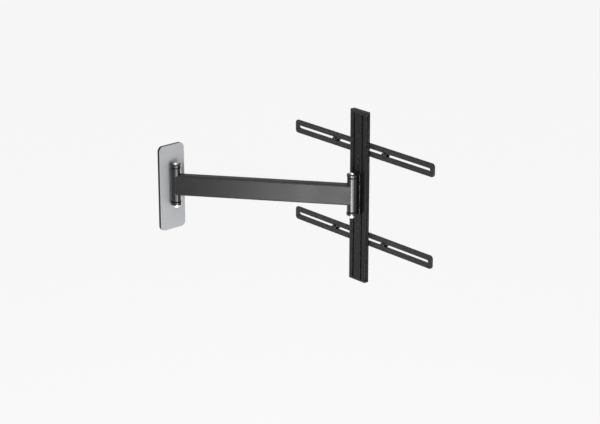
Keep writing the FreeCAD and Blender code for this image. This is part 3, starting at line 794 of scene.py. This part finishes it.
class WALLMOUNT_OT_hinge_bushes(bpy.types.Operator):
    """Model the four flanged bushes between knuckles and ears"""
    bl_idname = "wall_mount.hinge_bushes"
    bl_label = "Hinge bushes"

    def execute(self, context):
        hinge = context.scene.wall_mount_hinge
        bore = PIN_R + hinge.running
        sleeve = bore + hinge.bush_wall
        step = BUSH_HIGH.z - hinge.flange
        outline = [(bore, BUSH_LOW.z), (sleeve, BUSH_LOW.z), (sleeve, step), (BUSH_HIGH.x, step),
                   (BUSH_HIGH.x, BUSH_HIGH.z), (bore, BUSH_HIGH.z), (bore, BUSH_LOW.z)]
        for side, turn in (("upper", Matrix()), ("lower", UPSIDE_DOWN)):
            for end, place in (("wall", AT_WALL), ("head", AT_HEAD)):
                bush = turned(outline, edge=hinge.flange_edge)
                dress(put(bush, place @ turn), f"{side}_{end}_bush", f"{end}_bush_{side}")
        return {"FINISHED"}


class WALLMOUNT_OT_hinge_caps(bpy.types.Operator):
    """Model the four domed caps on the ears"""
    bl_idname = "wall_mount.hinge_caps"
    bl_label = "Hinge caps"

    def execute(self, context):
        hinge = context.scene.wall_mount_hinge
        stem = hinge.stem_radius
        for side, turn, rim in (("upper", Matrix(), hinge.upper_rim),
                                ("lower", UPSIDE_DOWN, hinge.lower_rim)):
            low, high = box_in(AT_WALL @ turn, "wall_cap_" + side)
            base = low.z + hinge.stem_length
            rise = high.z - base - rim
            sphere = (high.x ** 2 + rise ** 2) / (2 * rise)
            spread = math.asin(high.x / sphere)
            angles = [spread * (1 - step / CORNER_SEGMENTS) for step in range(CORNER_SEGMENTS + 1)]
            dome = [(sphere * math.sin(angle), high.z - sphere + sphere * math.cos(angle))
                    for angle in angles]
            outline = [(0, low.z), (stem, low.z), (stem, base), (high.x, base)] + dome
            for end, place in (("wall", AT_WALL), ("head", AT_HEAD)):
                cap = turned(outline, edge=hinge.cap_edge)
                dress(put(cap, place @ turn), f"{side}_{end}_cap", f"{end}_cap_{side}")
        return {"FINISHED"}


class WALLMOUNT_OT_hinge_pins(bpy.types.Operator):
    """Finish the two hinge pins, whose form the frame already gives"""
    bl_idname = "wall_mount.hinge_pins"
    bl_label = "Hinge pins"

    def execute(self, context):
        for node in ("wall_hinge_pin", "head_hinge_pin"):
            frame["nodes"][node].material_slots[0].material = finish_for(SLOT_OF[node])
        return {"FINISHED"}


class WALLMOUNT_OT_arm(bpy.types.Operator):
    """Model the arm's rectangular tube, coped to the two knuckles"""
    bl_idname = "wall_mount.arm"
    bl_label = "Arm"

    def execute(self, context):
        sizes, hinge = sizes_from(context, "arm", "hinge")
        low, high = box_in(ON_ARM, "arm_beam")
        beam = block((0, low.y, low.z), (ARM.length, high.y, high.z))
        round_edges(beam, sizes.corner, CORNER_SEGMENTS, along(X))
        wall = Vector((0, sizes.wall, sizes.wall))
        inside = block(Vector((-OVERCUT, low.y, low.z)) + wall,
                       Vector((ARM.length + OVERCUT, high.y, high.z)) - wall)
        cut(beam, round_edges(inside, sizes.corner - sizes.wall / 2, EDGE_SEGMENTS, along(X)))
        cope = bar(KNUCKLE_R + hinge.seat, -KNUCKLE_END, KNUCKLE_END)
        cut(beam, cope, [Matrix(), Matrix.Translation((ARM.length, 0, 0))])
        dress(put(beam, ON_ARM), "arm_tube", "arm_beam")
        return {"FINISHED"}


def mirrored(right):
    """Closed outline from its right half, which starts at the front."""
    return right + [(-x, y) for x, y in reversed(right)]


def rail_side(rail, half, front, back):
    """Right half of the rail's outer outline: its sloping border, side and back chamfer."""
    start = [(half - rail.slope_width, front), (half, front + rail.slope_drop)]
    end = [(half, back - rail.back_chamfer), (half - rail.back_chamfer, back)]
    return start, end


class WALLMOUNT_OT_rail(bpy.types.Operator):
    """Model the upright extrusion with its grooves and T-slot"""
    bl_idname = "wall_mount.rail"
    bl_label = "Rail"

    def execute(self, context):
        rail, hinge, screws = sizes_from(context, "rail", "hinge", "screws")
        low, high = box_in(AT_HEAD, "head_rail")
        front, back, half = low.y, high.y, high.x
        start, end = rail_side(rail, half, front, back)
        groove = (rail.groove_offset - rail.groove_width / 2, rail.groove_offset + rail.groove_width / 2)
        floor = front + rail.groove_depth
        near = front + rail.side_from_front
        far = near + rail.side_width
        inner = half - rail.side_depth
        cavity = front + rail.front_wall
        lips = cavity + rail.cavity_depth
        right = [(groove[0], front), (groove[0], floor), (groove[1], floor), (groove[1], front)] + start
        right += [(half, near), (inner, near), (inner, far), (half, far)] + end
        right += [(rail.mouth_width / 2, back), (rail.mouth_width / 2, lips)]
        right += [(rail.cavity_width / 2, lips), (rail.cavity_width / 2, cavity)]
        piece = prism(mirrored(right), low.z, high.z)
        round_edges(piece, rail.edge, EDGE_SEGMENTS, along(Z))

        for radius, places in (
            (screws.lock_radius, lock_places(screws)),
            (screws.sunk_radius, sunk_places(AT_HEAD, "head_bracket_screws", screws)),
        ):
            hole = bar(radius + hinge.seat, -OVERCUT, rail.front_wall + OVERCUT)
            cut(piece, hole, seats(places, front))
        dress(put(mend(piece), AT_HEAD), "rail", "head_rail")
        return {"FINISHED"}


class WALLMOUNT_OT_rail_end_caps(bpy.types.Operator):
    """Model the two caps that close the rail's ends"""
    bl_idname = "wall_mount.rail_end_caps"
    bl_label = "Rail end caps"

    def execute(self, context):
        rail, hinge = sizes_from(context, "rail", "hinge")
        rail_low, rail_high = box_in(AT_HEAD, "head_rail")
        start, end = rail_side(rail, rail_high.x, rail_low.y, rail_high.y)
        half = rail.cavity_width / 2 - hinge.seat
        cavity = rail_low.y + rail.front_wall
        for name, node, seat in (("top_end_cap", "rail_end_cap_top", rail_high.z),
                                 ("bottom_end_cap", "rail_end_cap_bottom", rail_low.z)):
            low, high = box_in(AT_HEAD, node)
            outer = high.z if seat == rail_high.z else low.z
            cap = prism(mirrored(start + end), *sorted((seat, outer)))
            round_edges(cap, rail.edge, EDGE_SEGMENTS, along(Z))
            round_edges(cap, rail.cap_edge, EDGE_SEGMENTS, at(Z, outer))
            plug = block((-half, cavity + hinge.seat, low.z),
                         (half, cavity + rail.cavity_depth - hinge.seat, high.z))
            combine(cap, round_edges(plug, rail.edge, EDGE_SEGMENTS, along(Z)), "UNION")
            dress(put(cap, AT_HEAD), name, node)
        return {"FINISHED"}


def lock_places(screws):
    """Places of the lock screws in hinge coordinates."""
    offsets = (-screws.lock_far, -screws.lock_near, screws.lock_near, screws.lock_far)
    return [(0, middle + offset) for middle in STRIP_LEVELS.values() for offset in offsets]


class WALLMOUNT_OT_lock_screws(bpy.types.Operator):
    """Model the socket set screws in the rail's middle band"""
    bl_idname = "wall_mount.lock_screws"
    bl_label = "Lock screws"

    def execute(self, context):
        screws = context.scene.wall_mount_screws
        low, high = box_in(AT_HEAD, "rail_lock_screws")
        screw = bar(screws.lock_radius, 0, high.y - low.y, screws.lock_edge)
        cut(screw, hex_socket(screws.lock_socket, screws.lock_socket_depth))
        piece = gather(screw, seats(lock_places(screws), low.y))
        dress(put(piece, AT_HEAD), "lock_screws", "rail_lock_screws")
        return {"FINISHED"}


class WALLMOUNT_OT_sunk_screws(bpy.types.Operator):
    """Model the countersunk screws of the brackets and of the strips"""
    bl_idname = "wall_mount.sunk_screws"
    bl_label = "Countersunk screws"

    def execute(self, context):
        screws = context.scene.wall_mount_screws
        for name, node, place, forwards in (
            ("wall_web_screws", "wall_bracket_screws", AT_WALL, False),
            ("head_web_screws", "head_bracket_screws", AT_HEAD, True),
            ("upper_slider_screws", "upper_strip_screws", AT_HEAD, False),
            ("lower_slider_screws", "lower_strip_screws", AT_HEAD, False),
        ):
            low, high = box_in(place, node)
            head, way = (low.y, ALONG_Y) if forwards else (high.y, AGAINST_Y)
            screw = sunk_screw(screws, high.y - low.y)
            piece = gather(screw, seats(sunk_places(place, node, screws), head, way))
            dress(put(piece, place), name, node)
        return {"FINISHED"}


class WALLMOUNT_OT_strips(bpy.types.Operator):
    """Model the two slotted strips"""
    bl_idname = "wall_mount.strips"
    bl_label = "Slotted strips"

    def execute(self, context):
        sizes, hinge, screws = sizes_from(context, "strip", "hinge", "screws")
        slots = MOUNTS["tv_slots"]["dims"]
        half = slots["hole_r_mm"] * MM
        middle = slots["spacing_x_mm"] * MM / 2
        run = slots["slot_length_mm"] * MM / 2
        for level, height in STRIP_LEVELS.items():
            low, high = box_in(AT_HEAD, level + "_strip")
            strip = rounded_plate(low, high, sizes.corner)
            for centre in (-middle, middle):
                slot = rounded_plate((centre - run, low.y - OVERCUT, height - half),
                                     (centre + run, high.y + OVERCUT, height + half), half)
                cut(strip, slot)
            soften(strip, sizes.edge)
            places = sunk_places(AT_HEAD, level + "_strip_screws", screws)
            cut(strip, sunk_hole(screws, hinge, high.y - low.y), seats(places, high.y, AGAINST_Y))
            dress(put(strip, AT_HEAD), level + "_slotted_strip", level + "_strip")
        return {"FINISHED"}


class WALLMOUNT_OT_sliders(bpy.types.Operator):
    """Model the T-shaped sliders that carry the strips in the rail"""
    bl_idname = "wall_mount.sliders"
    bl_label = "Sliders"

    def execute(self, context):
        rail, hinge, screws = sizes_from(context, "rail", "hinge", "screws")
        half = rail.cavity_width / 2 - rail.slide
        neck = rail.mouth_width / 2 - rail.slide
        for level in STRIP_LEVELS:
            low, high = box_in(AT_HEAD, level + "_strip_slider")
            step = low.y + rail.cavity_depth - 2 * rail.slide
            outline = mirrored([(half, low.y), (half, step), (neck, step), (neck, high.y)])
            slider = soften(prism(outline, low.z, high.z), rail.edge)
            hole = bar(screws.sunk_radius + hinge.seat, -OVERCUT, high.y - low.y + OVERCUT)
            cut(slider, hole, seats(sunk_places(AT_HEAD, level + "_strip_screws", screws), low.y))
            dress(put(slider, AT_HEAD), level + "_slider", level + "_strip_slider")
        return {"FINISHED"}


# Form of a thread, in its pitch, and of a screw's tip, in radii of its core
THREAD_DEPTH = 0.6
THREAD_ROOT = 0.1            # how far the ridge's foot lies inside the core
THREAD_FLANK = 0.45          # height of one flank
TIP_LENGTH = 0.25
TIP_RADIUS = 0.8
THREAD_STEPS = 32            # facets in a turn
HEAD_FLUTES = 48             # flutes round a cap screw's head
FLUTE_BORDER = 0.8           # border round a flute, in its depth


def thread_ridge(radius, core, pitch, start, end):
    """Helical ridge of a thread from its core to its outer radius, between two heights."""
    foot = core - THREAD_ROOT * pitch
    rise = THREAD_FLANK * pitch
    ridge = drawn([(foot, 0, start), (radius, 0, start + rise),
                   (foot, 0, start + 2 * rise), (foot, 0, start)])
    bpy.ops.mesh.select_all(action="SELECT")
    bpy.ops.mesh.remove_doubles(threshold=MERGE)
    bpy.ops.object.mode_set(mode="OBJECT")
    turns = int((end - start) / pitch - 1)
    apply(ridge, "SCREW", axis="Z", screw_offset=pitch, iterations=turns,
          steps=THREAD_STEPS, render_steps=THREAD_STEPS)
    edit(ridge)
    bpy.ops.mesh.select_all(action="SELECT")
    bpy.ops.mesh.fill_holes(sides=0)
    close_mesh()
    return ridge


def cap_screw(screws, reach):
    """Socket cap screw: its head's top at height 0, a fluted head, and a shank with a rolled thread."""
    height = screws.tv_head_height
    core = screws.tv_radius - THREAD_DEPTH * screws.pitch
    head = bar(screws.tv_head_radius, 0, height, screws.tv_head_edge, HEAD_FLUTES)
    edit(head)
    pick(head, "FACE", lambda face: abs(face.normal.z) < UPRIGHT)
    bpy.ops.mesh.inset(thickness=FLUTE_BORDER * screws.knurl, depth=-screws.knurl, use_individual=True)
    bpy.ops.object.mode_set(mode="OBJECT")
    cut(head, hex_socket(screws.tv_socket, screws.tv_socket_depth))
    shank = turned([(0, height - OVERCUT), (core, height - OVERCUT), (core, reach - TIP_LENGTH * core),
                    (TIP_RADIUS * core, reach), (0, reach)])
    combine(head, shank, "UNION")
    ridge = thread_ridge(screws.tv_radius, core, screws.pitch, height + 2 * screws.pitch, reach)
    only(head)
    ridge.select_set(True)
    bpy.ops.object.join()
    return head


class WALLMOUNT_OT_tv_screws(bpy.types.Operator):
    """Model the socket cap screws in the strips' slots"""
    bl_idname = "wall_mount.tv_screws"
    bl_label = "Screen screws"

    def execute(self, context):
        screws = context.scene.wall_mount_screws
        for level in STRIP_LEVELS:
            low, high = box_in(AT_HEAD, level + "_tv_screws")
            screw = cap_screw(screws, high.y - low.y)
            piece = gather(screw, seats(centres((low, high), screws.tv_head_radius), low.y))
            dress(put(piece, AT_HEAD), level + "_cap_screws", level + "_tv_screws")
        return {"FINISHED"}


class WALLMOUNT_OT_tv_spacers(bpy.types.Operator):
    """Model the sleeves on the screen screws"""
    bl_idname = "wall_mount.tv_spacers"
    bl_label = "Screen spacers"

    def execute(self, context):
        screws = context.scene.wall_mount_screws
        bore = MOUNTS["tv_slots"]["dims"]["hole_r_mm"] * MM
        for level in STRIP_LEVELS:
            low, high = box_in(AT_HEAD, level + "_tv_spacers")
            radius = (high.z - low.z) / 2
            reach = high.y - low.y
            spacer = turned([(bore, 0), (radius, 0), (radius, reach), (bore, reach), (bore, 0)],
                            edge=screws.spacer_edge)
            piece = gather(spacer, seats(centres((low, high), radius), low.y))
            dress(put(piece, AT_HEAD), level + "_spacers", level + "_tv_spacers")
        return {"FINISHED"}


# Stage

FLOOR_HEIGHT = -1.1          # well below the mount, which hangs on its wall
FLOOR_SIZE = 40.0
FLOOR_WHITE = 0.75           # share of white in the floor where it is seen
CAMERA_PLACE = Vector((-2.45395, -3.20928, 1.36272))
CAMERA_YAW = 41.37           # degrees from +Y towards +X
CAMERA_PITCH = 19.44         # degrees below the horizon
CAMERA_FOCUS = 1972          # focal length in pixels of the 600 pixel wide frame
FRAME_WIDTH = 600
SENSOR_WIDTH = 36.0          # millimetres
CAMERA_REACH = 100.0         # how far the camera sees
ROOM_LIGHT = 0.55            # strength of the surroundings on the mount
CEILING = 0.45               # brightness of the ceiling where it shows, against white at the horizon
CEILING_START = 0.4          # rise of a line of sight at which the ceiling is reached
LAMPS = (
    # name, place, what it faces, size across and upwards in metres,
    # spread of its beam in degrees, power in watts
    ("arm_softbox", (-0.58, -0.78, -0.33), (0.2, -0.26, 0.0), (0.3, 0.5), 38.0, 0.78),
    ("hinge_lamp", (-0.27, -1.25, -0.4), (0.1, -0.17, 0.0), (0.36, 0.5), 180.0, 10.0),
    ("top_softbox", (-0.16, -0.46, 1.45), (0.1, -0.17, 0.0), (1.2, 1.2), 180.0, 9.0),
    ("back_softbox", (1.6, 1.0, -0.5), (0.15, -0.17, 0.0), (1.6, 1.6), 50.0, 4.5),
)
SUN_PLACE = (0, 0, 3)
SUN_STRENGTH = 0.8
SUN_WAY = Vector((0.45, 0.5, -1.0))
SUN_SPREAD = 40.0            # degrees, for a soft shadow


def seen_directly(tree):
    """Socket that is 1 for rays that show the surroundings, also in a reflection, and 0 for lighting rays."""
    path = add_node(tree, "ShaderNodeLightPath")
    shown = path.outputs["Is Camera Ray"]
    for name in ("Is Glossy Ray", "Is Transmission Ray"):
        either = add_node(tree, "ShaderNodeMath", {0: shown, 1: path.outputs[name]}, operation="MAXIMUM")
        shown = either.outputs[0]
    return shown


def white_room():
    """World that lights the mount evenly, and shows white at the horizon below a greyer ceiling."""
    world = bpy.data.worlds.new("white_room")
    tree = empty_tree(world)
    sight = add_node(tree, "ShaderNodeTexCoord").outputs["Generated"]
    rise = add_node(tree, "ShaderNodeSeparateXYZ", {"Vector": sight}).outputs["Z"]
    shown = add_node(tree, "ShaderNodeMapRange", {
        "Value": rise, "From Max": CEILING_START, "To Min": 1.0, "To Max": CEILING})
    strength = add_node(tree, "ShaderNodeMapRange", {
        "Value": seen_directly(tree), "To Min": ROOM_LIGHT, "To Max": shown.outputs["Result"]})
    room = add_node(tree, "ShaderNodeBackground", {
        "Strength": strength.outputs["Result"], "Color": linear("#ffffff")})
    add_node(tree, "ShaderNodeOutputWorld", {"Surface": room.outputs["Background"]})
    return world


def pale_floor(tone):
    """Pale matt floor that keeps the shadow, shows nearly white, and can be seen through from below."""
    material = bpy.data.materials.new("pale_matt_floor")
    tree = empty_tree(material)
    matt = add_node(tree, "ShaderNodeBsdfDiffuse", {"Color": tone[:]})
    pale = add_node(tree, "ShaderNodeEmission", {"Color": linear("#ffffff")})
    share = add_node(tree, "ShaderNodeMath", {
        0: seen_directly(tree), 1: FLOOR_WHITE}, operation="MULTIPLY")
    shown = add_node(tree, "ShaderNodeMixShader", {
        0: share.outputs[0], 1: matt.outputs["BSDF"], 2: pale.outputs["Emission"]})
    clear = add_node(tree, "ShaderNodeBsdfTransparent")
    side = add_node(tree, "ShaderNodeNewGeometry")
    whole = add_node(tree, "ShaderNodeMixShader", {
        0: side.outputs["Backfacing"], 1: shown.outputs["Shader"], 2: clear.outputs["BSDF"]})
    add_node(tree, "ShaderNodeOutputMaterial", {"Surface": whole.outputs["Shader"]})
    return material


def facing(way):
    """Rotation that turns a lamp or a camera to look along a way."""
    return way.to_track_quat("-Z", "Y").to_euler()


def hang_lamps():
    """Soft lamps round the mount, and a soft sun for its shadow."""
    for name, place, aim, size, spread, power in LAMPS:
        way = Vector(aim) - Vector(place)
        bpy.ops.object.light_add(type="AREA", location=place, rotation=facing(way))
        lamp = bpy.context.object
        lamp.name = name
        lamp.data.shape = "RECTANGLE"
        lamp.data.size, lamp.data.size_y = size
        lamp.data.spread = math.radians(spread)
        lamp.data.energy = power
        lamp.visible_camera = False
    bpy.ops.object.light_add(type="SUN", location=SUN_PLACE, rotation=facing(SUN_WAY))
    sun = bpy.context.object
    sun.name = "soft_sun"
    sun.data.energy = SUN_STRENGTH
    sun.data.angle = math.radians(SUN_SPREAD)


def set_camera():
    """Camera at the photograph's viewing angle."""
    yaw, pitch = math.radians(CAMERA_YAW), math.radians(CAMERA_PITCH)
    level = math.cos(pitch)
    forward = Vector((math.sin(yaw) * level, math.cos(yaw) * level, -math.sin(pitch)))
    bpy.ops.object.camera_add(location=CAMERA_PLACE, rotation=facing(forward))
    camera = bpy.context.object
    camera.name = "camera"
    camera.data.sensor_width = SENSOR_WIDTH
    camera.data.lens = CAMERA_FOCUS / FRAME_WIDTH * SENSOR_WIDTH
    camera.data.clip_end = CAMERA_REACH
    bpy.context.scene.camera = camera


class WALLMOUNT_OT_stage(bpy.types.Operator):
    """Lay the pale floor, hang the lamps and set the camera"""
    bl_idname = "wall_mount.stage"
    bl_label = "Stage"

    def execute(self, context):
        scene = context.scene
        scene.view_settings.view_transform = "Standard"
        scene.world = white_room()
        centre = (CAD_BOX[0] + CAD_BOX[1]) / 2
        bpy.ops.object.select_all(action="DESELECT")
        bpy.ops.mesh.primitive_plane_add(size=FLOOR_SIZE, location=(centre.x, centre.y, FLOOR_HEIGHT))
        floor = context.object
        floor.name = "floor"
        floor.data.materials.append(pale_floor(scene.wall_mount_colours.floor))
        hang_lamps()
        set_camera()
        return {"FINISHED"}


# Panel and registration

GROUPS = {
    "wall_mount_plate": PlateSizes,
    "wall_mount_hinge": HingeSizes,
    "wall_mount_arm": ArmSizes,
    "wall_mount_rail": RailSizes,
    "wall_mount_strip": StripSizes,
    "wall_mount_screws": ScrewSizes,
    "wall_mount_colours": FinishColours,
}
OPERATORS = (
    WALLMOUNT_OT_base_plate,
    WALLMOUNT_OT_cover,
    WALLMOUNT_OT_hinge_brackets,
    WALLMOUNT_OT_hinge_knuckles,
    WALLMOUNT_OT_hinge_bushes,
    WALLMOUNT_OT_hinge_caps,
    WALLMOUNT_OT_hinge_pins,
    WALLMOUNT_OT_arm,
    WALLMOUNT_OT_rail,
    WALLMOUNT_OT_rail_end_caps,
    WALLMOUNT_OT_lock_screws,
    WALLMOUNT_OT_sunk_screws,
    WALLMOUNT_OT_strips,
    WALLMOUNT_OT_sliders,
    WALLMOUNT_OT_tv_screws,
    WALLMOUNT_OT_tv_spacers,
    WALLMOUNT_OT_stage,
)


class WALLMOUNT_PT_builder(bpy.types.Panel):
    """Lists the mount's pieces, sizes and colours"""
    bl_idname = "WALLMOUNT_PT_builder"
    bl_label = "Wall Mount"
    bl_space_type = "VIEW_3D"
    bl_region_type = "UI"
    bl_category = "Wall Mount"

    def draw(self, context):
        for operator in OPERATORS:
            self.layout.operator(operator.bl_idname)
        for name, group in GROUPS.items():
            column = self.layout.column(heading=group.__name__)
            for size in group.__annotations__:
                column.prop(getattr(context.scene, name), size)


CLASSES = (*GROUPS.values(), *OPERATORS, WALLMOUNT_PT_builder)


def register():
    for kind in CLASSES:
        bpy.utils.register_class(kind)
    for name, group in GROUPS.items():
        setattr(bpy.types.Scene, name, bpy.props.PointerProperty(type=group))


def unregister():
    for name in GROUPS:
        delattr(bpy.types.Scene, name)
    for kind in reversed(CLASSES):
        bpy.utils.unregister_class(kind)


def main():
    register()
    for operator in OPERATORS:
        family, name = operator.bl_idname.split(".")
        getattr(getattr(bpy.ops, family), name)()


if __name__ == "__main__":
    main()
